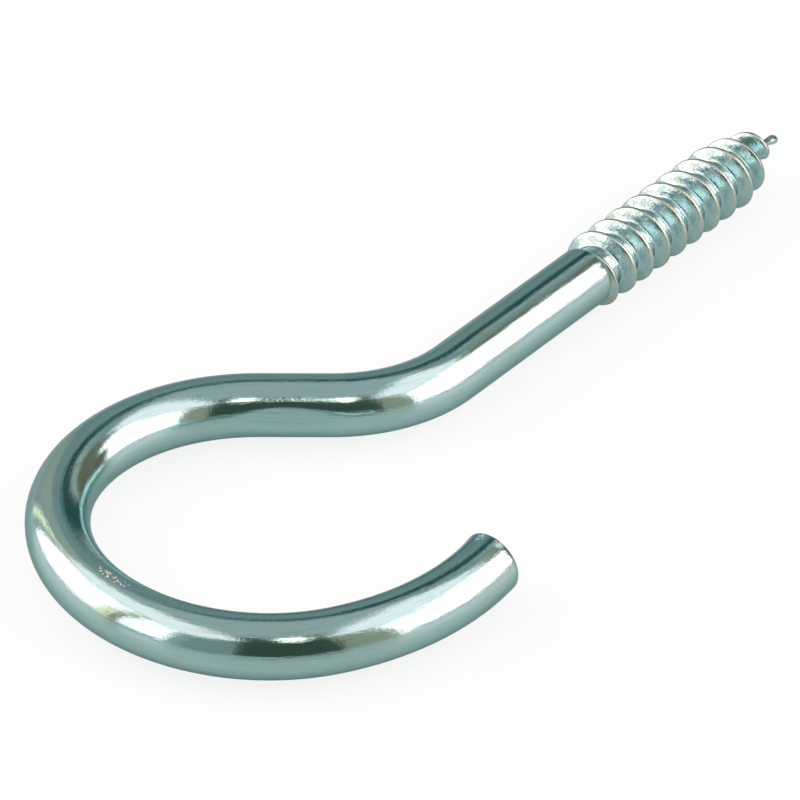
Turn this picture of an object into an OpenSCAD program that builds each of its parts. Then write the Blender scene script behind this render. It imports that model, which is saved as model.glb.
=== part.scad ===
// Screw hook: one length of steel wire, bent to a hook at one end, with a coarse
// wood-screw thread rolled on the other.  The screw axis is X, the point faces +X,
// and the hook lies flat in the XY plane.  The origin is on the screw axis, where
// the plain shank ends and the thread begins.

/* [Wire] */
// Diameter of the wire
wire_d = 5.4; // [4:0.1:8]

/* [Screw] */
// Length of the plain shank between the hook and the thread
shank_len = 19.4; // [8:0.1:60]
// Radius on the rim where the plain shank ends
shoulder_r = 0.3; // [0.1:0.05:0.4]
// Height of the crests of the thread above the surface of the wire
crest_rise = 0.55; // [0.4:0.05:0.9]
// Depth of the core between the crests below the surface of the wire
root_sink = 0.5; // [0.4:0.05:0.8]
// Distance from one crest to the next
pitch = 2.54; // [2:0.02:3.4]
// Length of the thread, from the shoulder to the blunt end of the point
thread_len = 26.75; // [18:0.05:60]
// Width of the flat root between two turns of the ridge
root_w = 0.95; // [0.6:0.05:1.3]
// Width of the crest of the ridge
crest_w = 0.25; // [0.1:0.05:0.5]
// Angle round the axis at which the ridge starts
start_turn = 26; // [0:1:359]
// Length over which the ridge rises from the core at the shoulder
rise_len = 0.8; // [0.4:0.1:4]
// Length over which the thread tapers to the point
point_len = 5.45; // [4:0.05:12]
// Diameter over the crest at the point
point_d = 3.8; // [3:0.1:4.2]
// Angle round the axis over which the ridge rounds off before it stops
stop_angle = 130; // [45:5:270]

/* [Nib] */
// Diameter of the nib at its neck, where it leaves the point
nib_neck_d = 0.55; // [0.4:0.05:0.9]
// Diameter of the nib at its round end
nib_end_d = 0.75; // [0.5:0.05:1.2]
// Length of the nib
nib_len = 2.3; // [1:0.1:4]
// Distance from the screw axis at which the nib leaves the point
nib_rise = 0.5; // [0:0.05:0.8]
// Angle at which the nib slants back towards the screw axis
nib_tilt = 12; // [0:1:30]

/* [Hook] */
// Inside radius of the bend that takes the wire off the screw axis
neck_bend_r = 10.9; // [6:0.1:20]
// Angle of that bend
neck_angle = 50.3; // [30:0.1:70]
// Straight length between that bend and the eye
neck_len = 6.2; // [1:0.1:20]
// Inside radius of the round eye
eye_r = 14.2; // [9:0.1:30]
// Angle that the eye wraps through
eye_angle = 198.4; // [150:0.1:215]
// Inside radius of the opened-out tail that ends in the tip
tail_r = 21.5; // [14:0.1:50]
// Angle that the tail wraps through
tail_angle = 40.7; // [10:0.1:60]
// Straight length of wire at the cut tip
tip_len = 0.8; // [0.6:0.1:6]
// Radius on the rim of the cut tip
tip_rim_r = 0.4; // [0.1:0.05:0.6]

/* [Hidden] */

zinc = "#a9bcbc";
wire_facets = 48;
arc_facets = 120;
nib_facets = 24;
thread_steps = 32;

// The hook is put together at this scale and then enlarged.
small = 0.01;

// The thread is rolled on the wire itself, so its diameters follow the wire.
thread_d = wire_d + 2 * crest_rise;
core_d = wire_d - 2 * root_sink;

point_start = thread_len - point_len;
point_slope = (core_d - nib_neck_d) / point_len;

// Share of its width and share of its height at each corner of one flank, which
// turns out of the root and over into the crest.
flank = [[0, 0], [0.3, 0.14], [0.7, 0.86], [1, 1]];
flank_w = (pitch - root_w - crest_w) / 2;

// Axial place and height share of each corner of the ridge, over one pitch.
ridge = [
    [0, 0],
    for (corner = flank) [root_w + flank_w * corner[0], corner[1]],
    for (k = [len(flank) - 1 : -1 : 1]) [pitch - flank_w * flank[k][0], flank[k][1]]
];
corners = len(ridge);

// The helix starts one turn inside the shank and stops where the thread ends.
// The ridge is a little above the core there, and ends in a small blunt face.
strip_steps = round(thread_len / pitch * thread_steps);
stop_steps = stop_angle / 360 * thread_steps;
blunt_steps = 0.3;
hub_share = 0.5;

// Straight line from a to b as t goes from 0 to 1, and level on either side.
function ramp(a, b, t) = a + (b - a) * min(1, max(0, t));

// Radii of the core and the crest at a place along the screw, and how far its last
// turn leans off the axis there.
function core_at(x) = ramp(core_d, nib_neck_d, (x - point_start) / point_len) / 2;
function crest_at(x) = ramp(thread_d, point_d, (x - point_start) / point_len) / 2;
function lean_at(x) = ramp(0, nib_rise, 1 - (thread_len - x) / pitch);

// Share of its full height that the ridge has, i steps round the helix.
function stop_share(i) = sqrt(ramp(0, 1, (strip_steps + blunt_steps - i) / stop_steps));

// Corner j of the ridge, i steps round the helix.
function corner_point(i, j) =
    let (x = pitch * (i / thread_steps - 1) + ridge[j][0])
    let (full = (crest_at(x) - core_at(x)) * ramp(0, 1, x / rise_len))
    let (r = core_at(x) + full * ridge[j][1] * stop_share(i))
    let (turn = start_turn + 360 * i / thread_steps)
    [x, r * cos(turn), r * sin(turn) + lean_at(x)];

// Its place in the list of points.  The strip is one pitch wide, so the corner
// past its last one is the first corner of the next turn.
function corner_id(i, j) =
    j == corners ? corner_id(i + thread_steps, 0)
    : i <= strip_steps ? i * corners + j
    : strip_steps * (corners - 1) + corners - 1 + i;

module threaded_length() {
    skin_points = [
        for (i = [0 : strip_steps]) for (j = [0 : corners - 1]) corner_point(i, j),
        for (i = [strip_steps + 1 : strip_steps + thread_steps]) corner_point(i, 0)
    ];
    first_hub = len(skin_points);
    last_hub = first_hub + 1;
    // The second hub lies just behind the tip of the cone that the core tapers to.
    hub_points = [
        [-pitch / 2, 0, 0],
        [thread_len + hub_share * nib_neck_d / point_slope, 0, nib_rise]
    ];
    skin_faces = [
        for (i = [0 : strip_steps - 1]) for (j = [0 : corners - 1])
            each [
                [corner_id(i, j), corner_id(i + 1, j + 1), corner_id(i + 1, j)],
                [corner_id(i, j), corner_id(i, j + 1), corner_id(i + 1, j + 1)]
            ]
    ];
    // Each end is open along one turn of the helix and one width of the strip.
    end_faces = [
        for (i = [0 : thread_steps - 1])
            each [
                [first_hub, corner_id(i, 0), corner_id(i + 1, 0)],
                [last_hub, corner_id(strip_steps + i + 1, 0), corner_id(strip_steps + i, 0)]
            ],
        for (j = [0 : corners - 1])
            [first_hub, corner_id(0, j + 1), corner_id(0, j)],
        [last_hub, corner_id(strip_steps, 0), corner_id(strip_steps, 1)],
        [last_hub, corner_id(strip_steps, 1), corner_id(strip_steps, corners)]
    ];
    // The blunt face joins the corners of one flank to those of the other.
    blunt_faces = [
        for (j = [1 : corners / 2 - 1])
            each [
                [corner_id(strip_steps, j), corner_id(strip_steps, j + 1),
                    corner_id(strip_steps, corners - j)],
                [corner_id(strip_steps, j), corner_id(strip_steps, corners - j),
                    corner_id(strip_steps, corners + 1 - j)]
            ]
    ];
    polyhedron(concat(skin_points, hub_points), concat(skin_faces, end_faces, blunt_faces));
}

// Round bar along +Z with a rounded rim at its far end.
module rimmed_bar(d, length, rim_r) {
    rotate_extrude($fn = wire_facets) {
        square([d / 2 - rim_r, length]);
        square([d / 2, length - rim_r]);
        translate([d / 2 - rim_r, length - rim_r])
            circle(r = rim_r, $fn = nib_facets);
    }
}

module shank() {
    translate([-shank_len, 0, 0])
        rotate([0, 90, 0])
            rimmed_bar(wire_d, shank_len, shoulder_r);
}

// The blank pinches off here when the thread is rolled, and leaves this nib.  It
// has a sharp root, which lies inside the taper of the core.
module nib() {
    end_z = nib_len - nib_end_d / 2;
    translate([thread_len, 0, nib_rise])
        rotate([0, 90 + nib_tilt, 0]) {
            rotate_extrude($fn = nib_facets)
                polygon([[0, -nib_neck_d], [nib_neck_d / 2, 0], [nib_end_d / 2, end_z], [0, end_z]]);
            translate([0, 0, end_z])
                sphere(d = nib_end_d * 1.02, $fn = nib_facets);
        }
}

// The hook follows the wire.  Each stretch starts at the origin, runs towards +X,
// and carries what comes after it at its far end.  It is put together small and
// then enlarged, so that the rounding in its angles opens no gap where two
// stretches meet.
module straight(length) {
    rotate([0, 90, 0])
        cylinder(d = wire_d * small, h = length * small, $fn = wire_facets);
    translate([length * small, 0, 0])
        children();
}

// A bend to the left has a side of 1, and a bend to the right a side of -1.
module bend(side, inside_r, angle) {
    middle_r = (inside_r + wire_d / 2) * small;
    translate([0, side * middle_r, 0]) {
        rotate([0, 0, side > 0 ? -90 : 90 - angle])
            rotate_extrude(angle = angle, $fn = arc_facets)
                translate([middle_r, 0])
                    circle(d = wire_d * small, $fn = wire_facets);
        rotate([0, 0, side * angle])
            translate([0, -side * middle_r, 0])
                children();
    }
}

module tip() {
    rotate([0, 90, 0])
        rimmed_bar(wire_d * small, tip_len * small, tip_rim_r * small);
}

module hook() {
    translate([-shank_len, 0, 0])
        rotate([0, 0, 180])
            scale(1 / small)
                bend(-1, neck_bend_r, neck_angle)
                    straight(neck_len)
                        bend(1, eye_r, eye_angle)
                            bend(1, tail_r, tail_angle)
                                tip();
}

module screw_hook() {
    color(zinc) {
        threaded_length();
        nib();
        shank();
        hook();
    }
}

screw_hook();
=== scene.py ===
# %% [markdown]
# # A screw hook
#
# A screw hook is one length of steel wire.  A coarse wood-screw thread is rolled
# on one end, the other end is bent cold round formers into an open eye, and the
# whole piece is then plated with bright zinc.  Nothing on it is assembled, so it
# is modelled as one closed shell that follows the wire from the cut tip to the
# point of the screw.

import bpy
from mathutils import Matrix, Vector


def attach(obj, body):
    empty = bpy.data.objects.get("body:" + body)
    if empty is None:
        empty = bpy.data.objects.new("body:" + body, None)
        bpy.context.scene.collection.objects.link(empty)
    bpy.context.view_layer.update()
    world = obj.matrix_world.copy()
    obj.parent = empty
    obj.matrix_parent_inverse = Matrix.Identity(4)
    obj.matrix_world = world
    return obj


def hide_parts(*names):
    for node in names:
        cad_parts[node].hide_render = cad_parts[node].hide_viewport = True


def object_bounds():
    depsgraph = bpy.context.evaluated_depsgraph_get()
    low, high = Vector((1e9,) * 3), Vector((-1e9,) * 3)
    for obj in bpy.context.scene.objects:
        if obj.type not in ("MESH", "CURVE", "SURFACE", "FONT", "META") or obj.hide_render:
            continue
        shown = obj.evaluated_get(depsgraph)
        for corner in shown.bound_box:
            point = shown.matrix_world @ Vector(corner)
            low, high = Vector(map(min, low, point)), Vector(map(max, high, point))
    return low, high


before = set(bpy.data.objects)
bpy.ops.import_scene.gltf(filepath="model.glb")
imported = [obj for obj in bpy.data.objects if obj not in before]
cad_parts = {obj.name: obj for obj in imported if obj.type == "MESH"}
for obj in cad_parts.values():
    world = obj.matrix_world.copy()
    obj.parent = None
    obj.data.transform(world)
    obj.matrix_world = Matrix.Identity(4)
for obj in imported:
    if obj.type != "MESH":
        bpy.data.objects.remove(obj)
solid_low, solid_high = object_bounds()
print("solid box in mm:",
      [round((high - low) * 1000, 2) for low, high in zip(solid_low, solid_high)])

# %% [markdown]
# ## Sizes
#
# Sizes are in millimetres, because that is how a hook is specified.  The finished
# mesh is reduced to metres in one step at the end.  The origin is on the screw
# axis, where the plain shank stops and the thread begins, with the point towards
# +X and the hook flat in the XY plane.

# %% The sizes of the wire and its thread
import math

import bmesh
import bpy
from mathutils import Matrix, Vector

MM = 0.001
WIRE_R = 2.7
PITCH = 2.54
THREAD_LEN = 26.75
CREST_R = 3.25
CORE_R = 2.2
print("wire", 2 * WIRE_R, "mm, thread", 2 * CREST_R, "mm over its crests,",
      round(THREAD_LEN / PITCH, 2), "turns")

# %% [markdown]
# ## The section of a screw
#
# Cut a screw straight across its axis and the cut face is not a circle but a cam:
# going once round it, the radius runs once through the whole thread profile.  A
# thread can therefore be made from one flat ring, and the profile is all it needs:
# a flat root, a narrow crest and two flanks that swell gently between them.

# %% Write the thread profile
ROOT_W = 0.9
CREST_W = 0.16
FLANK_W = (PITCH - ROOT_W - CREST_W) / 2
ROOT_START = 0.1


def limit(t):
    return min(1.0, max(0.0, t))


def swell(t):
    """A smooth rise from 0 to 1 as t goes from 0 to 1."""
    return 0.5 - 0.5 * math.cos(math.pi * limit(t))


def ridge(lane):
    """How far a point stands out from the core, for its place in one pitch."""
    along = (lane - ROOT_START) % PITCH
    return swell((along - ROOT_W) / FLANK_W) * swell((PITCH - along) / FLANK_W)


print("profile: root", ROOT_W, "mm, crest", CREST_W, "mm, each flank", round(FLANK_W, 2), "mm")

# %% [markdown]
# The ring starts as a circle of the core's radius, and its points move out where
# the ridge passes.  Every point carries three notes along: its lane, which is its
# place in one pitch, its height on the ridge, and its place on the straight blank.
# Operators copy such layers with the points, so the finish can read them later.

# %% Shape the cam ring
RING_POINTS = 80
START_TURN = 26

bm = bmesh.new()
lane_layer = bm.verts.layers.float.new("lane")
ridge_layer = bm.verts.layers.float.new("ridge")
blank_layer = bm.verts.layers.float_vector.new("blank")

bmesh.ops.create_circle(bm, segments=RING_POINTS, radius=CORE_R,
                        matrix=Matrix.Rotation(math.pi / 2, 4, "Y"))
for v in bm.verts:
    turn = math.degrees(math.atan2(v.co.z, v.co.y)) - START_TURN
    v[lane_layer] = (-PITCH * turn / 360) % PITCH
    v[ridge_layer] = ridge(v[lane_layer])
    v.co *= 1 + v[ridge_layer] * (CREST_R / CORE_R - 1)
print("cam ring:", len(bm.verts), "points, radius",
      round(min(v.co.length for v in bm.verts), 2), "to",
      round(max(v.co.length for v in bm.verts), 2), "mm")

# %% [markdown]
# ## Rolling the thread
#
# On the real wire two flat dies roll the blank between them and press the helix
# in.  Here the spin operator turns the cam ring about the screw axis while dvec
# carries it forward one pitch a turn.  The points of the ring trace the crest and
# the root as clean helical edges, and both ends of the thread stay flat rings, so
# the shank and the nib can grow straight from them.

# %% Spin the cam ring along the axis
STEPS_PER_TURN = 48


def edges_of(geometry):
    return [e for e in geometry if isinstance(e, bmesh.types.BMEdge)]


steps = round(THREAD_LEN / PITCH * STEPS_PER_TURN)
shoulder_edges = bm.edges[:]
spun = bmesh.ops.spin(
    bm, geom=shoulder_edges, cent=(0, 0, 0), axis=(1, 0, 0),
    dvec=(THREAD_LEN / steps, 0, 0), angle=2 * math.pi * THREAD_LEN / PITCH,
    steps=steps, use_duplicate=False)
point_edges = edges_of(spun["geom_last"])
print("thread:", len(bm.verts), "points in", steps, "steps")

# %% [markdown]
# The dies taper at both ends.  At the shoulder the ridge grows out of the core.
# At the point the core runs down to a thin neck, while the ridge stays and then
# stops short, and the neck leans up off the axis.

# %% Taper the ends of the thread
RISE_LEN = 0.8
POINT_LEN = 5.45
POINT_CREST_R = 1.9
NECK_R = 0.28
LAST_TURN = THREAD_LEN / PITCH
STOP_TURNS = 0.36
LEAN_START, LEAN_LEN, LEAN_UP = 24.4, 2.3, 0.5


def between(a, b, t):
    return a + (b - a) * limit(t)


for v in bm.verts:
    x = v.co.x
    down = (x - (THREAD_LEN - POINT_LEN)) / POINT_LEN
    core = between(CORE_R, NECK_R, down)
    crest = between(CREST_R, POINT_CREST_R, down)
    turns = (x - v[lane_layer]) / PITCH + 1
    stop = math.sqrt(limit((LAST_TURN - turns) / STOP_TURNS))
    radius = core + (crest - core) * limit(x / RISE_LEN) * stop * v[ridge_layer]
    outward = Vector((0, v.co.y, v.co.z)).normalized()
    lean = LEAN_UP * swell((x - LEAN_START) / LEAN_LEN)
    v.co = Vector((x, 0, lean)) + outward * radius
print("point: crests down to", POINT_CREST_R, "mm and core down to", NECK_R, "mm in radius")

# %% [markdown]
# ## The plain shank
#
# The thread is rolled on a blank of the full wire diameter, so the plain shank
# ends in a shoulder where the core begins.  The first ring of the thread is
# spun outwards to the wire's radius and then back along the wire, and the bevel
# operator rounds the shoulder's rim as the dies leave it.

# %% Grow the shoulder and the shank
SHANK_LEN = 19.4
SHANK_RINGS = 20
SHOULDER_R = 0.32
RIM_SEGMENTS = 6


def grow(edges, cent=(0, 0, 0), axis=(0, 0, 1), angle=0.0, dvec=(0, 0, 0), steps=1):
    """Spins or pushes an open ring onwards, and gives the new ring and every new point."""
    before = set(bm.verts)
    made = bmesh.ops.spin(bm, geom=edges, cent=cent, axis=axis, angle=angle,
                          dvec=dvec, steps=steps, use_duplicate=False)
    return edges_of(made["geom_last"]), [v for v in bm.verts if v not in before]


def round_off(edges, radius):
    """Rounds the sharp rim that a ring of edges makes."""
    bmesh.ops.bevel(bm, geom=edges, offset=radius, segments=RIM_SEGMENTS, profile=0.5,
                    affect="EDGES", material=-1)


rim_edges, rim_verts = grow(shoulder_edges)
for v in rim_verts:
    outward = Vector((0, v.co.y, v.co.z)).normalized()
    v.co = Vector((v.co.x, 0, 0)) + outward * WIRE_R
open_edges, _ = grow(rim_edges, dvec=(-SHANK_LEN / SHANK_RINGS, 0, 0), steps=SHANK_RINGS)
round_off(rim_edges, SHOULDER_R)
for v in bm.verts:
    v[blank_layer] = v.co
    if v.co.x <= 0:
        v[ridge_layer] = 0.0
print("shank grown to x =", round(min(v.co.x for v in bm.verts), 2), "mm")

# %% [markdown]
# ## Bending the wire
#
# A bender pulls the straight wire round one former after another.  Each bend is a
# spin of the open ring about the middle of its former, and each straight is the
# same spin with no angle.  Every new point also keeps its place on the straight
# blank, because the drawing marks on the wire were there before it was bent, and
# the finish will follow them round the bends.

# %% Write the two moves of the bender
LEFT, RIGHT = 1, -1
DEGREES_PER_RING = 2.4


def axes_of(heading):
    """The directions ahead along the wire and to its left."""
    ahead = Vector((math.cos(heading), math.sin(heading), 0))
    return ahead, Vector((-ahead.y, ahead.x, 0))


def note_blank(verts, where):
    """Notes the place of each point on the blank, for points on a straight."""
    place, heading, used = where
    ahead, left = axes_of(heading)
    for v in verts:
        offset = v.co - place
        v[blank_layer] = Vector((-(used + offset.dot(ahead)), -offset.dot(left), v.co.z))


def straight(edges, where, length, rings):
    """Pushes the open ring forward along the wire."""
    place, heading, used = where
    ahead, left = axes_of(heading)
    edges, verts = grow(edges, dvec=ahead * (length / rings), steps=rings)
    note_blank(verts, where)
    return edges, (place + ahead * length, heading, used + length)


def bend(edges, where, side, inside_r, degrees):
    """Spins the open ring about the middle of a former, to the left or the right."""
    place, heading, used = where
    ahead, left = axes_of(heading)
    middle_r = inside_r + WIRE_R
    centre = place + left * (side * middle_r)
    angle = side * math.radians(degrees)
    edges, verts = grow(edges, cent=centre, angle=angle, steps=round(degrees / DEGREES_PER_RING))
    for v in verts:
        arm = v.co - centre
        turned = math.atan2(arm.dot(ahead), -side * arm.dot(left)) % (2 * math.pi)
        out = math.hypot(arm.x, arm.y) - middle_r
        v[blank_layer] = Vector((-(used + middle_r * turned), side * out, v.co.z))
    place = centre + Matrix.Rotation(angle, 3, "Z") @ (place - centre)
    return edges, (place, heading + angle, used + middle_r * abs(angle))


print("a full turn takes", round(360 / DEGREES_PER_RING), "rings")

# %% [markdown]
# The wire turns right into a short neck, then left round the eye, and the last
# stretch opens up round a wider former, so that a ring can be slipped on.

# %% Follow the wire round its formers
NECK_BEND_R, NECK_ANGLE = 10.9, 50.3
NECK_LEN, NECK_RINGS = 6.2, 8
EYE_R, EYE_ANGLE = 14.2, 198.4
TAIL_R, TAIL_ANGLE = 21.5, 38.3

here = (Vector((-SHANK_LEN, 0, 0)), math.pi, SHANK_LEN)
open_edges, here = bend(open_edges, here, RIGHT, NECK_BEND_R, NECK_ANGLE)
_, neck_heading, neck_start = here
open_edges, here = straight(open_edges, here, NECK_LEN, NECK_RINGS)
open_edges, here = bend(open_edges, here, LEFT, EYE_R, EYE_ANGLE)
open_edges, here = bend(open_edges, here, LEFT, TAIL_R, TAIL_ANGLE)
print("wire used:", round(here[2], 1), "mm")

# %% [markdown]
# ## The mark of the bending tool
#
# Between the first bend and the eye the bender presses on the wire to reverse the
# bend, and leaves a shallow flat there.  Points that stand further out than the
# flat are moved back to it, and its depth fades at both ends, so the round wire
# runs into it without a step.

# %% Press the flat into the neck
FLAT_DEPTH = 0.21
FLAT_TILT = math.radians(10.5)
FLAT_HALF = 5.8
FLAT_SHIFT = 0.8

flat_middle = -(neck_start + NECK_LEN / 2 + FLAT_SHIFT)
_, neck_left = axes_of(neck_heading)
pressed_side = neck_left * math.cos(FLAT_TILT) + Vector((0, 0, math.sin(FLAT_TILT)))
pressed = 0
for v in bm.verts:
    x, y, z = v[blank_layer]
    depth = FLAT_DEPTH * swell(1 - abs(x - flat_middle) / FLAT_HALF)
    too_far = z * math.sin(FLAT_TILT) - y * math.cos(FLAT_TILT) - (WIRE_R - depth)
    if depth > 0 and too_far > 0:
        v.co -= pressed_side * too_far
        pressed += 1
print("flat pressed:", pressed, "points moved back")

# %% [markdown]
# ## The cut tip
#
# The wire is cropped between two blades, so its end is never quite square: the
# face leans a little, its rim is rounded by the blades, and a low burr is pushed
# out on one side.  The wire is drawn a little too long here and cut with the
# bisect operator along a leaning plane.

# %% Cut the tip
TIP_LEN, TOO_LONG = 1.65, 1.15
FACE_LEAN = 0.26
SHORT_SIDE = math.radians(145)
BURR_SIDE, BURR_WIDTH, BURR_OUT = math.radians(32), math.radians(55), 0.09
SAME_PLACE = 1e-5

open_edges, here = straight(open_edges, here, TIP_LEN + TOO_LONG, 1)
wire_end = here[0]
ahead, left = axes_of(here[1])
tip_middle = wire_end - ahead * TOO_LONG


def round_the_wire(angle):
    """The direction from the wire's axis at an angle from its left side towards the top."""
    return left * math.cos(angle) + Vector((0, 0, math.sin(angle)))


def verts_of(geometry):
    return [v for v in geometry if isinstance(v, bmesh.types.BMVert)]


def points_on(elements):
    """Each point of some edges or faces once, in a fixed order."""
    return list(dict.fromkeys(v for element in elements for v in element.verts))


tip_faces = [f for f in bm.faces
             if any((v.co - wire_end).length < TIP_LEN + TOO_LONG for v in f.verts)]
cut = bmesh.ops.bisect_plane(
    bm, geom=tip_faces + list(dict.fromkeys(e for f in tip_faces for e in f.edges))
    + points_on(tip_faces),
    dist=SAME_PLACE, plane_co=tip_middle,
    plane_no=ahead + round_the_wire(SHORT_SIDE) * FACE_LEAN, clear_outer=True)
tip_edges = edges_of(cut["geom_cut"])
for v in verts_of(cut["geom_cut"]):
    offset = v.co - tip_middle
    angle = math.atan2(offset.z, offset.dot(left))
    v.co += round_the_wire(angle) * BURR_OUT * swell(1 - abs(angle - BURR_SIDE) / BURR_WIDTH)
print("tip cut at", [round(c, 2) for c in tip_middle], "with", len(tip_edges), "edges on its rim")

# %% [markdown]
# The rim is closed with smaller and smaller rings and one middle point, and then
# the bevel operator rounds it.  The points of the cut face get a full ridge note,
# which nothing else has so far from the thread, so the finish can tell the face.

# %% Close the tip
SHRINK_STEPS = (0.75, 0.7, 0.5, 0.2)
TIP_RIM_R = 0.6


def middle_of(verts):
    return sum((v.co for v in verts), Vector()) / len(verts)


ring_edges = tip_edges
for factor in SHRINK_STEPS:
    ring_edges, verts = grow(ring_edges)
    middle = middle_of(verts)
    for v in verts:
        v.co = middle + (v.co - middle) * factor
        v[ridge_layer] = 1.0
    note_blank(verts, here)
last_ring = points_on(ring_edges)
bmesh.ops.pointmerge(bm, verts=last_ring, merge_co=middle_of(last_ring))
round_off(tip_edges, TIP_RIM_R)
print("tip closed with", len(SHRINK_STEPS), "rings")

# %% [markdown]
# ## The nib
#
# When the dies roll the point, the waste end of the blank is pinched off and
# leaves a short nib.  It stands a little off the axis, because the blank bends
# as it parts.  The last ring of the thread is repeated along the nib, and each
# copy is set to its own radius about the nib's middle line.

# %% Draw out the nib
NIB_SLOPE = -0.21
NIB_END = 2.26
NIB_PROFILE = [(0.12, 0.33), (0.35, 0.31), (0.7, 0.31), (1.1, 0.35), (1.45, 0.41),
               (1.75, 0.44), (1.98, 0.41), (2.14, 0.32), (2.23, 0.18)]


def nib_axis(along):
    return Vector((THREAD_LEN + along, 0, LEAN_UP + NIB_SLOPE * along))


for along, radius in NIB_PROFILE:
    point_edges, verts = grow(point_edges)
    centre = middle_of(verts)
    for v in verts:
        v.co = nib_axis(along) + (v.co - centre).normalized() * radius
        v[blank_layer] = v.co
        v[ridge_layer] = 0.0
bmesh.ops.pointmerge(bm, verts=points_on(point_edges), merge_co=nib_axis(NIB_END))
print("nib ends at x =", round(THREAD_LEN + NIB_END, 2), "mm")

# %% [markdown]
# ## One closed piece
#
# The shell is now closed from the tip to the nib.  Its normals are made to agree,
# it is reduced to metres and shaded smooth, and only the edges where the thread
# turns sharply stay crisp.  A shell that is closed has a volume, which is printed.

# %% Turn the shell into a piece
SHARP_ANGLE = math.radians(50)

bmesh.ops.recalc_face_normals(bm, faces=bm.faces[:])
bmesh.ops.scale(bm, vec=(MM, MM, MM), verts=bm.verts[:])
for face in bm.faces:
    face.smooth = True
open_left = [e for e in bm.edges if not e.is_manifold]
print("shell:", len(bm.verts), "points,", sum(len(f.verts) - 2 for f in bm.faces), "triangles,",
      len(open_left), "open edges, volume", round(bm.calc_volume() / MM ** 3, 1), "mm3")
hook_mesh = bpy.data.meshes.new("screw_hook_wire")
bm.to_mesh(hook_mesh)
bm.free()
hook_mesh.set_sharp_from_angle(angle=SHARP_ANGLE)
hook = bpy.data.objects.new("screw_hook_wire", hook_mesh)
bpy.context.scene.collection.objects.link(hook)
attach(hook, "root")
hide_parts("screw_hook")

# %% [markdown]
# ## A helper for shaders
#
# Every finish below is a sum of a few patterns.  The Shade class wraps one output
# of a node, so that the sums can be written as plain arithmetic, and add_node is
# the one place where any node is made.  A Math node would turn a colour grey and
# lose a vector, so colours go through blend and vectors through vector.

# %% Write the shader helper
class Shade:
    """One output of a node tree, which can be used in sums and products."""

    def __init__(self, tree, socket):
        self.tree, self.socket = tree, socket

    def math(self, operation, *terms):
        return add_node(self.tree, "ShaderNodeMath", {"operation": operation},
                        dict(enumerate(terms)))

    def vector(self, operation, other=(0, 0, 0), out="Vector"):
        return add_node(self.tree, "ShaderNodeVectorMath", {"operation": operation},
                        {0: self, 1: other}, out)

    def __add__(self, other): return self.math("ADD", self, other)
    def __radd__(self, other): return self.math("ADD", other, self)
    def __sub__(self, other): return self.math("SUBTRACT", self, other)
    def __rsub__(self, other): return self.math("SUBTRACT", other, self)
    def __mul__(self, other): return self.math("MULTIPLY", self, other)
    def __rmul__(self, other): return self.math("MULTIPLY", other, self)


def add_node(tree, kind, settings=None, inputs=None, out=0):
    """Adds a node: first its settings, then the values or links of its sockets."""
    made = tree.nodes.new(kind)
    for name, value in (settings or {}).items():
        setattr(made, name, value)
    for name, value in (inputs or {}).items():
        if isinstance(value, Shade):
            tree.links.new(value.socket, made.inputs[name])
        else:
            made.inputs[name].default_value = value
    return Shade(tree, made.outputs[out]) if made.outputs else None


methods = [name.strip("_") for name, value in vars(Shade).items() if callable(value)]
print("Shade has", len(methods), "methods:", ", ".join(methods))

# %% [markdown]
# Two small helpers do most of the work on a finish.  ramp turns a pattern into a
# soft mask, with its own start and end, and blend mixes two colours by a mask.

# %% Write the helpers for a finish
def ramp(value, low, high, to_low=0.0, to_high=1.0):
    """Follows a value softly from to_low, where it is low, up to to_high, where it is high."""
    return add_node(value.tree, "ShaderNodeMapRange", {"interpolation_type": "SMOOTHSTEP"}, {
        "Value": value, "From Min": low, "From Max": high, "To Min": to_low, "To Max": to_high})


def blend(amount, first, second):
    """Mixes two colours, from the first at 0 to the second at 1."""
    return add_node(amount.tree, "ShaderNodeMix", {"data_type": "RGBA"},
                    {0: amount, 6: first, 7: second}, 2)


def new_material(name):
    material = bpy.data.materials.new(name)
    material.use_nodes = True
    material.node_tree.nodes.clear()
    return material, material.node_tree


def show(tree, surface):
    """Sends a surface shader to the material's output."""
    add_node(tree, "ShaderNodeOutputMaterial", None, {"Surface": surface})


zinc, zinc_tree = new_material("bright zinc")
print("empty material:", zinc.name)

# %% [markdown]
# ## Bright zinc
#
# Zinc is plated on in a bath and then dipped in a clear blue chromate.  It is thin,
# so the drawing marks of the wire show through as faint streaks along it, and the
# chromate leaves a cool tint that drifts to olive in places.  All of it is tied to
# the place on the straight blank, so the marks follow the wire round its bends.
# Squeezing the blank along its length draws a round pattern out into streaks.

# %% Lay out the patterns on the blank
LONG_DRAWN = (0.05, 1, 1)
PULLED = (0.35, 1, 1)


def noise(vector, scale, detail=2.0, rough=0.5):
    return add_node(vector.tree, "ShaderNodeTexNoise", {"noise_dimensions": "3D"},
                    {"Vector": vector, "Scale": scale, "Detail": detail, "Roughness": rough})


blank = add_node(zinc_tree, "ShaderNodeAttribute", {"attribute_name": "blank"}, None, "Vector")
drawn = blank.vector("MULTIPLY", LONG_DRAWN)
streaks = noise(drawn, scale=2.6, detail=3.0, rough=0.6)
fine_streaks = noise(drawn, scale=9.0)
speckle = noise(blank.vector("MULTIPLY", PULLED), scale=7.5, rough=0.6)
patches = noise(blank, scale=0.16, rough=0.6)
mottle = noise(blank, scale=0.9, detail=3.0, rough=0.6)
dents = noise(blank, scale=1.15, detail=3.0, rough=0.55)
grain = noise(blank, scale=3.2, detail=3.0, rough=0.6)
flecks = noise(blank, scale=5.0, detail=1.0)
print("patterns laid with", len(zinc_tree.nodes), "nodes")

# %% [markdown]
# Some marks belong to one part only.  The dies leave the thread rougher than the
# wire and rub its crests, the blades leave the cut face dull, a few coppery specks
# sit on top of the eye, and the plating is chipped in two places near the tip.

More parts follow.
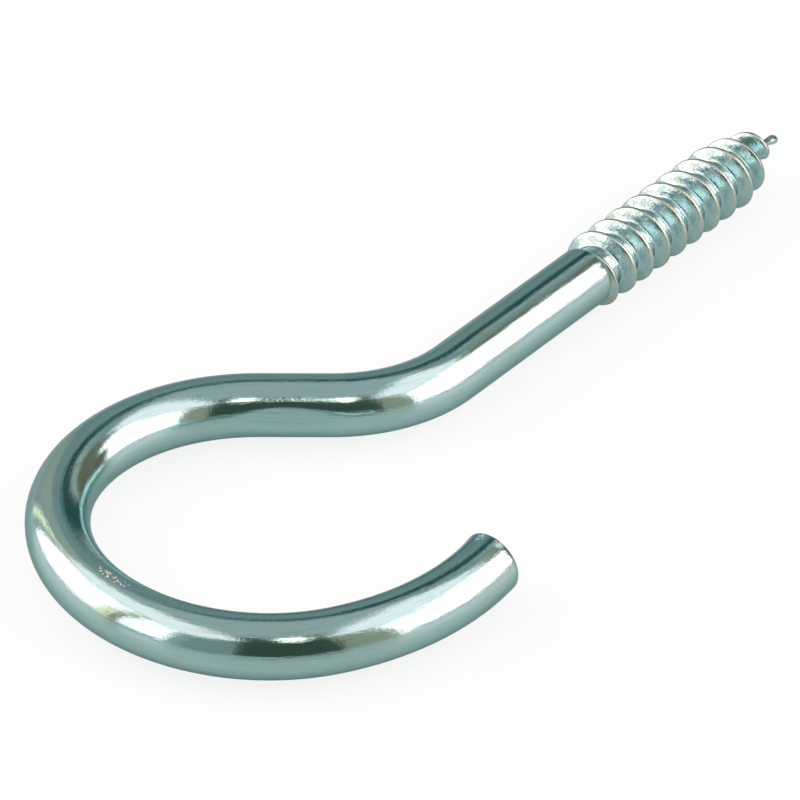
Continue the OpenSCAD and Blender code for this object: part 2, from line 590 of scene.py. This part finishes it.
# %% Mask the marked places
SPECKS_AT, SPECKS_REACH = (-76.5, -0.1, 2.7), (2.7, 0.5, 0.5)
BIG_CHIP_AT, BIG_CHIP_REACH = (-113.0, 0.85, 2.6), (1.0, 0.7, 0.7)
SMALL_CHIP_AT, SMALL_CHIP_REACH = (-112.7, -0.9, 2.5), (0.7, 0.5, 0.5)


def spot(place, reach):
    """A soft spot on the wire, round a place on the blank and with its own reach."""
    offset = blank.vector("SUBTRACT", place).vector("DIVIDE", reach)
    return ramp(offset.vector("LENGTH", out="Value"), 0.5, 1.0, 1.0, 0.0)


ridge_height = add_node(zinc_tree, "ShaderNodeAttribute", {"attribute_name": "ridge"}, None, "Fac")
along = add_node(zinc_tree, "ShaderNodeSeparateXYZ", None, {0: blank}, "X")
threaded = ramp(along, -0.15, 0.15)
crest = ramp(ridge_height, 0.82, 0.97) * threaded
sheared = ramp(ridge_height, 0.6, 1.0) * (1 - threaded)
specks = spot(SPECKS_AT, SPECKS_REACH) * ramp(flecks, 0.53, 0.59)
chips = spot(BIG_CHIP_AT, BIG_CHIP_REACH) + spot(SMALL_CHIP_AT, SMALL_CHIP_REACH)
chips = chips * ramp(grain, 0.38, 0.5)
print("masks done with", len(zinc_tree.nodes), "nodes")

# %% [markdown]
# The colour starts as plain zinc and takes one tint after another, each with the
# pattern that decides where it shows.  The wire's tints come first, then those of
# the thread, whose lighter cream flecks are painted glints, and the specks and
# chips lie on top.

# %% Tint the zinc
ZINC = (0.385, 0.59, 0.575, 1)
OLIVE = (0.43, 0.55, 0.44, 1)
BLUE = (0.34, 0.585, 0.63, 1)
STREAK = (0.28, 0.45, 0.46, 1)
ROLLED = (0.43, 0.645, 0.65, 1)
DEEP = (0.3, 0.54, 0.585, 1)
# The cream of the painted glints on the thread.
PAINTED_GLINT_CREAM = (0.62, 0.66, 0.54, 1)
RUBBED = (0.5, 0.55, 0.43, 1)
BARE = (0.66, 0.92, 0.95, 1)
COPPER = (1.0, 0.88, 0.78, 1)

colour = blend(ramp(patches, 0.52, 0.68, 0.0, 0.3), ZINC, OLIVE)
colour = blend(ramp(mottle, 0.5, 0.75, 0.0, 0.35), colour, BLUE)
colour = blend(ramp(streaks, 0.52, 0.75, 0.0, 0.4), colour, STREAK)
colour = blend(ramp(fine_streaks, 0.5, 0.7, 0.0, 0.3), colour, STREAK)
colour = blend(threaded * ramp(mottle, 0.3, 0.7, 0.95, 0.6), colour, ROLLED)
colour = blend(threaded * ramp(dents, 0.46, 0.6, 0.0, 0.6), colour, DEEP)
# Painted glints: lighter cream flecks over the thread stand in for the glints of its rough flanks.
colour = blend(threaded * ramp(speckle, 0.5, 0.6, 0.0, 0.5), colour, PAINTED_GLINT_CREAM)
colour = blend(crest * ramp(mottle, 0.35, 0.6, 0.2, 0.8), colour, RUBBED)
colour = blend(specks, blend(chips, colour, BARE), COPPER)
print("colour done with", len(zinc_tree.nodes), "nodes")

# %% [markdown]
# The same patterns make the metal a little duller here and there, and raise or
# sink it by hundredths of a millimetre.  The bump's distance is one millimetre, so
# the depths below are in millimetres too.

# %% Roughen the zinc and put it on the hook
POLISHED = 0.11
CREST_DULL, SHEARED_DULL, CHIP_DULL, SPECK_DULL = 0.1, 0.2, 0.4, 0.5
STREAK_DEPTH, FINE_STREAK_DEPTH, GRAIN_DEPTH, SPECKLE_DEPTH = 0.014, 0.005, 0.006, 0.0065
SHEARED_DEPTH, DENT_DEPTH, DIE_GRAIN_DEPTH = 0.03, 0.04, 0.022
EDGE_TINT = (0.55, 0.65, 0.65, 1)

roughness = POLISHED + ramp(streaks, 0.45, 0.7, 0.0, 0.06) + ramp(mottle, 0.55, 0.8, 0.0, 0.06)
roughness = roughness + threaded * ramp(grain, 0.35, 0.75, 0.04, 0.15) + crest * CREST_DULL
roughness = roughness + chips * CHIP_DULL + specks * SPECK_DULL + sheared * SHEARED_DULL
height = streaks * STREAK_DEPTH + fine_streaks * FINE_STREAK_DEPTH
height = height + grain * GRAIN_DEPTH + speckle * SPECKLE_DEPTH + sheared * grain * SHEARED_DEPTH
die_marks = dents * DENT_DEPTH + ramp(mottle, 0.46, 0.58) * grain * DIE_GRAIN_DEPTH
height = height + threaded * die_marks
bump = add_node(zinc_tree, "ShaderNodeBump", None,
                {"Height": height, "Distance": MM, "Strength": 1.0})
show(zinc_tree, add_node(zinc_tree, "ShaderNodeBsdfPrincipled", None, {
    "Base Color": colour, "Metallic": 1.0, "Roughness": roughness, "Normal": bump,
    "Specular Tint": EDGE_TINT}))
hook_mesh.materials.append(zinc)
print("zinc finish:", len(zinc_tree.nodes), "nodes")

# %% [markdown]
# ## The floor
#
# The hook lies on a sheet of white paper, which touches the lowest point of the
# solid.  The same helper makes every flat card round the hook.

# %% Lay the floor
FLOOR_SIZE = 6


def plate(name, size_x, size_y, turn, place):
    """A flat rectangle, made at the origin and then turned and moved into place."""
    bm = bmesh.new()
    bm.loops.layers.uv.new("card")
    bmesh.ops.create_grid(bm, x_segments=1, y_segments=1, size=0.5, calc_uvs=True)
    bmesh.ops.scale(bm, vec=(size_x, size_y, 1), verts=bm.verts[:])
    bmesh.ops.transform(bm, matrix=Matrix.Translation(place) @ turn, verts=bm.verts[:])
    mesh = bpy.data.meshes.new(name)
    bm.to_mesh(mesh)
    bm.free()
    piece = bpy.data.objects.new(name, mesh)
    bpy.context.scene.collection.objects.link(piece)
    return piece


floor = plate("floor", FLOOR_SIZE, FLOOR_SIZE, Matrix.Identity(4), (0, 0, solid_low.z))
print("floor at z =", round(solid_low.z / MM, 2), "mm")

# %% [markdown]
# The camera sees the paper as nearly plain white, and keeps a faint shadow under
# the wire.  The bright wire sees the same paper painted a little darker, as painted
# shade for the shade of the hook and of the tent.  Light Path tells the two apart,
# and a share of plain glow is mixed into the lit paper for each.

# %% Colour the floor paper
FLOOR_SHARE, MIRRORED_SHARE = 0.85, 0.4
WHITE = (1, 1, 1, 1)
# Painted shade: the paper as the wire sees it is darker than as the camera sees it.
MIRRORED_GLOW_IN_PAINTED_SHADE = (0.6, 0.64, 0.64, 1)
SHEET, MIRRORED_SHEET_IN_PAINTED_SHADE = (0.86, 0.96, 0.96, 1), (0.6, 0.7, 0.69, 1)
SHEET_ROUGHNESS = 0.25

paper, tree = new_material("white floor")
camera_ray, glossy_ray, through_ray = [
    add_node(tree, "ShaderNodeLightPath", None, None, name)
    for name in ("Is Camera Ray", "Is Glossy Ray", "Is Transmission Ray")]
mirrored = glossy_ray.math("MAXIMUM", glossy_ray, through_ray)
share = camera_ray.math("MAXIMUM", camera_ray * FLOOR_SHARE, mirrored * MIRRORED_SHARE)
plain = add_node(tree, "ShaderNodeBsdfPrincipled", None, {
    "Base Color": blend(mirrored, SHEET, MIRRORED_SHEET_IN_PAINTED_SHADE), "Roughness": SHEET_ROUGHNESS})
glow = add_node(tree, "ShaderNodeEmission", None, {
    "Color": blend(camera_ray, MIRRORED_GLOW_IN_PAINTED_SHADE, WHITE), "Strength": 1.0})
show(tree, add_node(tree, "ShaderNodeMixShader", None, {0: share, 1: plain, 2: glow}))
floor.data.materials.append(paper)
print("paper:", len(tree.nodes), "nodes")

# %% [markdown]
# ## The light tent
#
# A mirror-bright wire shows nothing but what stands around it, so the studio is
# modelled as what the wire sees: a square tent with two lit cloths, a dim back and
# a dark opening in front, over which a lamp hangs.  Each card is placed by the
# wall it hangs on, two bearings and two heights, all in degrees as seen from the
# wire.  The cards are hidden from the camera and cast no shadow.

# %% Define the cards of the tent
TENT_HALF = 0.28
TENT_TOP = 0.35
RIGHT_WALL, LEFT_WALL, FRONT, BACK = 48, -132, -42, 138
TENT_MIDDLE = Vector((-0.025, 0, 0))
FADE_FROM = 0.45


def light_up(piece, strength, colour, fade):
    """Makes a card glow, and fades it to nothing towards its edges along the fade axes."""
    material, tree = new_material(piece.name)
    glow = add_node(tree, "ShaderNodeEmission", None,
                    {"Color": (*colour, 1), "Strength": strength})
    if fade:
        uv = add_node(tree, "ShaderNodeUVMap", {"uv_map": "card"})
        from_middle = uv.vector("SUBTRACT", (0.5, 0.5, 0)).vector(
            "MULTIPLY", (2 * fade[0], 2 * fade[1], 0))
        faded = ramp(from_middle.vector("LENGTH", out="Value"), FADE_FROM, 1.0, 1.0, 0.0)
        clear = add_node(tree, "ShaderNodeBsdfTransparent", None, {"Color": WHITE})
        glow = add_node(tree, "ShaderNodeMixShader", None, {0: faded, 1: clear, 2: glow})
    show(tree, glow)
    piece.data.materials.append(material)
    piece.visible_camera = False
    piece.visible_shadow = False
    return piece


def facing(side):
    return Matrix.Rotation(math.radians(side), 4, "Z")


def card(name, side, bearings, heights, glow, colour=(1, 1, 1), fade=None, nearer=0.0, lean=0):
    """A card on the wall that faces a side, between two bearings and two heights."""
    distance = TENT_HALF - nearer
    left, right = [math.tan(math.radians(bearing)) * distance for bearing in bearings]
    bottom, top = [math.tan(math.radians(height)) * distance for height in heights]
    place = TENT_MIDDLE + facing(side) @ Vector(
        ((left + right) / 2, -distance, (bottom + top) / 2))
    upright = (facing(side) @ Matrix.Rotation(math.pi / 2, 4, "X")
               @ Matrix.Rotation(math.radians(lean), 4, "Z"))
    return light_up(plate(name, right - left, top - bottom, upright, place), glow, colour, fade)


def roof(name, side, left, right, near, far, glow, colour=(1, 1, 1), drop=0.0):
    """A card of the roof on the side of one wall, between two distances from the middle."""
    place = TENT_MIDDLE + facing(side) @ Vector(
        ((left + right) / 2, -(near + far) / 2, TENT_TOP - drop))
    return light_up(plate(name, right - left, far - near, facing(side), place), glow, colour, None)


print("tent:", 2 * TENT_HALF, "m square and", TENT_TOP, "m high")

# %% [markdown]
# The lit cloths stand to the right and the left, and dim flaps, posts and feet
# close the rest.  Each of these gives the wire one of its thin dark or pale lines.
# The cloths are a little pink, so that the greenish zinc still shows them white.

# %% Hang the walls
CORNER = 45
SKIRT, EAVES = -0.5, 51.3
CLOTH_GLOW, FOOT_GLOW = 3.2, 0.9

CLOTH = (1.0, 0.78, 0.79)
CLOUD = (1.0, 0.78, 0.81)
CREAM_CLOTH = (1.0, 1.0, 0.85)
PALE = (1.0, 0.93, 0.9)
KHAKI = (1.0, 0.97, 0.88)
OCHRE = (1.0, 0.9, 0.68)
MOSS = (1.0, 0.85, 0.62)
POST = (1.0, 0.76, 0.52)
GREY = (0.85, 1.0, 1.0)
NIGHT = (0.7, 1.0, 0.8)
DARK = (0.3, 0.9, 1.0)
ACROSS = (1, 0)

walls = [
    card("right cloth", RIGHT_WALL, (-CORNER, 19), (5, 50.5), CLOTH_GLOW, CLOTH),
    card("right foot", RIGHT_WALL, (-CORNER, 19), (SKIRT, 5), FOOT_GLOW, CLOUD),
    card("right end", RIGHT_WALL, (19, CORNER), (SKIRT, EAVES), 0.25, MOSS),
    card("right flap", RIGHT_WALL, (9, 20), (SKIRT, 29), 0.18, MOSS, nearer=0.004),
    card("left cloth", LEFT_WALL, (-CORNER, 5), (4, 50), CLOTH_GLOW, CLOTH),
    card("left post", LEFT_WALL, (5, 12), (SKIRT, EAVES), 1.7, POST),
    card("left post side", LEFT_WALL, (12, 16.5), (SKIRT, EAVES), 0.2, POST),
    card("left strip", LEFT_WALL, (16.5, 38), (6, 50), 2.7, CLOTH),
    card("left strip foot", LEFT_WALL, (16.5, CORNER), (SKIRT, 6), 0.6, GREY),
    card("left end", LEFT_WALL, (38, CORNER), (6, EAVES), 0.5, GREY),
    card("left foot", LEFT_WALL, (-CORNER, 5), (SKIRT, 4), FOOT_GLOW, CLOUD),
    card("left rail", LEFT_WALL, (-CORNER, 5), (50, EAVES), 0.7, CREAM_CLOTH),
    card("back", BACK, (-19, 12), (SKIRT, EAVES), 0.4, GREY),
    card("back left", BACK, (12, CORNER), (SKIRT, EAVES), 0.56, KHAKI),
    card("back right", BACK, (-CORNER, -19), (SKIRT, EAVES), 0.62, PALE),
    card("back pole", BACK, (-37, -11), (-3, 54), 0.11, DARK, ACROSS, nearer=0.015, lean=-24),
    card("back stripe", BACK, (34.5, 39.5), (-2, 51), 2.2, POST, ACROSS, nearer=0.01),
    card("back stripe side", BACK, (29, 34.5), (-2, 51), 0.5, KHAKI, ACROSS, nearer=0.008),
    card("front left flap", FRONT, (-CORNER, -23), (SKIRT, EAVES), 0.4, GREY),
    card("opening", FRONT, (-23, 22), (SKIRT, EAVES), 0.1, NIGHT),
    card("front right flap", FRONT, (22, 42), (SKIRT, EAVES), 0.5, OCHRE),
    card("front cloth", FRONT, (42, CORNER), (SKIRT, 50.5), CLOTH_GLOW, CLOTH),
]
print("walls:", len(walls), "cards")

# %% [markdown]
# The roof is grey in the middle and lit along both sides.  The dark opening runs
# up into it, and the lamp shows in front of the opening as a soft oval.

# %% Close the roof and hang the lamp
ROOF_GLOW = 1.85
ROOF_MIDDLE, ROOF_EDGE, ROOF_END = 0.12, 0.265, 0.16
WARM = (1, 0.85, 0.75)
ALL_ROUND = (1, 1)

ceiling = [
    roof("roof middle", RIGHT_WALL, -TENT_HALF, TENT_HALF, -ROOF_MIDDLE, ROOF_MIDDLE, 0.6),
    roof("roof right", RIGHT_WALL, -TENT_HALF, ROOF_END, ROOF_MIDDLE, ROOF_EDGE, ROOF_GLOW, CLOUD),
    roof("roof right end", RIGHT_WALL, ROOF_END, TENT_HALF, ROOF_MIDDLE, TENT_HALF, 0.42, GREY),
    roof("roof left", LEFT_WALL, -TENT_HALF, TENT_HALF, ROOF_MIDDLE, ROOF_EDGE, ROOF_GLOW, CLOUD),
    roof("roof opening", FRONT, -0.10, 0.095, 0.18, TENT_HALF, 0.1, NIGHT, drop=0.002),
    card("lamp", FRONT, (-9.5, 15), (43, 62), 4.5, WARM, ALL_ROUND, nearer=0.095),
]
print("roof and lamp:", len(ceiling), "cards")

# %% [markdown]
# ## Camera and world
#
# The camera looks down on the hook from its lower left with a long lens, which
# keeps the wire's thickness even from the eye to the point.  The world is plain
# white at strength 1, and only fills what the tent leaves open.

# %% Set the camera and the world
CAMERA_AZ, CAMERA_EL, CAMERA_ROLL = -54.106, 34.765, 2.329
CAMERA_DISTANCE = 0.5468
LENS, SENSOR = 291.44, 36
FAR_LIMIT = 50

aim = Vector((-25.563, 0.985, 0)) * MM
camera_data = bpy.data.cameras.new("camera")
camera_data.lens = LENS
camera_data.sensor_width = SENSOR
camera_data.clip_end = FAR_LIMIT
camera = bpy.data.objects.new("camera", camera_data)
camera.matrix_world = (
    Matrix.Translation(aim)
    @ Matrix.Rotation(math.radians(CAMERA_AZ), 4, "Z")
    @ Matrix.Rotation(math.radians(90 - CAMERA_EL), 4, "X")
    @ Matrix.Rotation(math.radians(CAMERA_ROLL), 4, "Z")
    @ Matrix.Translation((0, 0, CAMERA_DISTANCE))
)
bpy.context.scene.collection.objects.link(camera)
bpy.context.scene.camera = camera

world = bpy.data.worlds.new("studio")
world.use_nodes = True
background = world.node_tree.nodes["Background"]
background.inputs["Color"].default_value = WHITE
background.inputs["Strength"].default_value = 1.0
bpy.context.scene.world = world
bpy.context.scene.view_settings.view_transform = "Standard"
print("camera", round(CAMERA_DISTANCE / MM), "mm from its aim")

# %% [markdown]
# ## The two boxes
#
# The shell has to stay inside the box of the plain solid, whose size is printed at the start.
